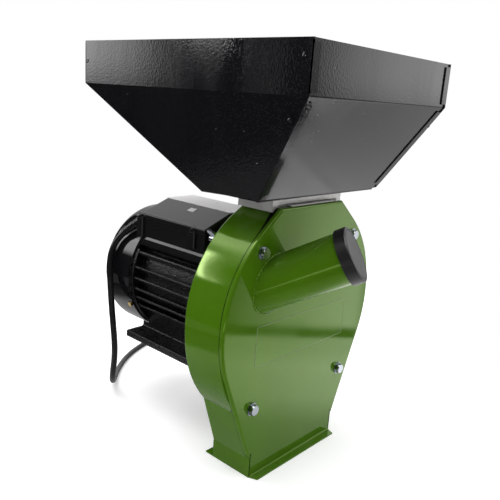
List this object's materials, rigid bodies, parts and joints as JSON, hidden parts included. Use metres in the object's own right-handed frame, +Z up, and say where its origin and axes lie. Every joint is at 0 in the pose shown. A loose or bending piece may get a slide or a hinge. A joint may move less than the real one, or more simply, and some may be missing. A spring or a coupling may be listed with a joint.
{
  "type": "hammer mill",
  "caption": "Small electric hammer mill: steel hopper with slide gate, round milling chamber with outlet chute and capped feed tube, foot-mounted finned motor.",
  "frame": {"origin": "centre of the four foot holes on the underside of the motor feet", "axes": "+X to the right seen from the cover, +Y from the cover back along the motor shaft, +Z up"},
  "size_m": [0.3417, 0.4171, 0.4076],
  "materials": {
    "green_enamel": "gloss",
    "black_plastic": "satin",
    "zinc": "bright zinc",
    "screen_steel": "punched sheet",
    "galvanised": "galvanised",
    "black_enamel": "gloss",
    "black_casting": "gloss over rough casting",
    "lamination": "varnished",
    "copper_winding": "varnished copper",
    "bare_steel": "machined",
    "fan_plastic": "moulded",
    "motor_gloss": "high gloss",
    "brass_screw": "yellow passivated",
    "box_plastic": "moulded",
    "gasket_rubber": "matt",
    "capacitor_case": "moulded",
    "block_plastic": "moulded",
    "cord_rubber": "satin",
    "pin_brass": "nickel plated",
    "hammer_steel": "hardened"
  },
  "bodies": {
    "mill": {"chamber_drum": "green_enamel", "chute_front": "green_enamel", "front_cover": "green_enamel", "feed_tube": "green_enamel", "cover_bolts": "zinc", "cover_washers": "zinc", "wing_nuts": "zinc", "cover_spacers": "zinc", "screen": "screen_steel", "screen_rests": "screen_steel", "gate_guide": "galvanised", "guide_screws": "zinc", "hopper_right": "black_enamel", "hopper_left": "black_enamel", "hopper_front": "black_enamel", "hopper_rear": "black_enamel", "hopper_base": "black_enamel", "hopper_screws": "zinc", "motor_frame": "black_casting", "motor_feet": "black_casting", "front_shield": "black_casting", "rear_shield": "black_casting", "flange_screws": "zinc", "stator_core": "lamination", "stator_windings": "copper_winding", "bearing_outer_rings": "bare_steel", "fan_cover": "motor_gloss", "fan_cover_screws": "brass_screw", "terminal_box": "box_plastic", "terminal_lid": "box_plastic", "lid_gasket": "gasket_rubber", "lid_screws": "zinc", "capacitor": "capacitor_case", "terminal_block": "block_plastic", "cable_gland": "cord_rubber", "mains_cord": "cord_rubber", "cord_coil": "cord_rubber", "cord_tail": "cord_rubber", "plug_body": "cord_rubber", "plug_pins": "pin_brass"},
    "rotor": {"rotor_core": "lamination", "motor_shaft": "bare_steel", "bearing_inner_rings": "bare_steel", "bearing_balls": "bare_steel", "cooling_fan": "fan_plastic", "rotor_discs": "bare_steel", "rotor_hub": "bare_steel", "rotor_nut": "zinc", "hammer_pins": "bare_steel", "hammer_spacers": "bare_steel"},
    "gate": {"slide_gate": "galvanised"},
    "cap": {"tube_cap": "black_plastic"},
    "hammer_1": {"hammer_1": "hammer_steel"},
    "hammer_2": {"hammer_2": "hammer_steel"},
    "hammer_3": {"hammer_3": "hammer_steel"},
    "hammer_4": {"hammer_4": "hammer_steel"},
    "hammer_5": {"hammer_5": "hammer_steel"},
    "hammer_6": {"hammer_6": "hammer_steel"},
    "hammer_7": {"hammer_7": "hammer_steel"},
    "hammer_8": {"hammer_8": "hammer_steel"}
  },
  "joints": [
    {"name": "rotor_spin", "type": "hinge", "parent": "mill", "child": "rotor", "pos_m": [0, 0, 0.071], "axis": [0, 1, 0], "continuous": true},
    {"name": "gate_slide", "type": "slide", "parent": "mill", "child": "gate", "axis": [0, -1, 0], "range_m": [0, 0.04]},
    {"name": "cap_pull", "type": "slide", "parent": "mill", "child": "cap", "axis": [0.3769, -0.7988, 0.4689], "range_m": [0, 0.025]},
    {"name": "hammer_1_swing", "type": "hinge", "parent": "rotor", "child": "hammer_1", "pos_m": [0.035, 0, 0.106], "axis": [0, 1, 0], "range_deg": [-275, 5]},
    {"name": "hammer_2_swing", "type": "hinge", "parent": "rotor", "child": "hammer_2", "pos_m": [0.035, 0, 0.106], "axis": [0, 1, 0], "range_deg": [-275, 5]},
    {"name": "hammer_3_swing", "type": "hinge", "parent": "rotor", "child": "hammer_3", "pos_m": [-0.035, 0, 0.106], "axis": [0, 1, 0], "range_deg": [-5, 275]},
    {"name": "hammer_4_swing", "type": "hinge", "parent": "rotor", "child": "hammer_4", "pos_m": [-0.035, 0, 0.106], "axis": [0, 1, 0], "range_deg": [-5, 275]},
    {"name": "hammer_5_swing", "type": "hinge", "parent": "rotor", "child": "hammer_5", "pos_m": [-0.035, 0, 0.036], "axis": [0, 1, 0], "range_deg": [-95, 185]},
    {"name": "hammer_6_swing", "type": "hinge", "parent": "rotor", "child": "hammer_6", "pos_m": [-0.035, 0, 0.036], "axis": [0, 1, 0], "range_deg": [-95, 185]},
    {"name": "hammer_7_swing", "type": "hinge", "parent": "rotor", "child": "hammer_7", "pos_m": [0.035, 0, 0.036], "axis": [0, 1, 0], "range_deg": [-185, 95]},
    {"name": "hammer_8_swing", "type": "hinge", "parent": "rotor", "child": "hammer_8", "pos_m": [0.035, 0, 0.036], "axis": [0, 1, 0], "range_deg": [-185, 95]}
  ]
}
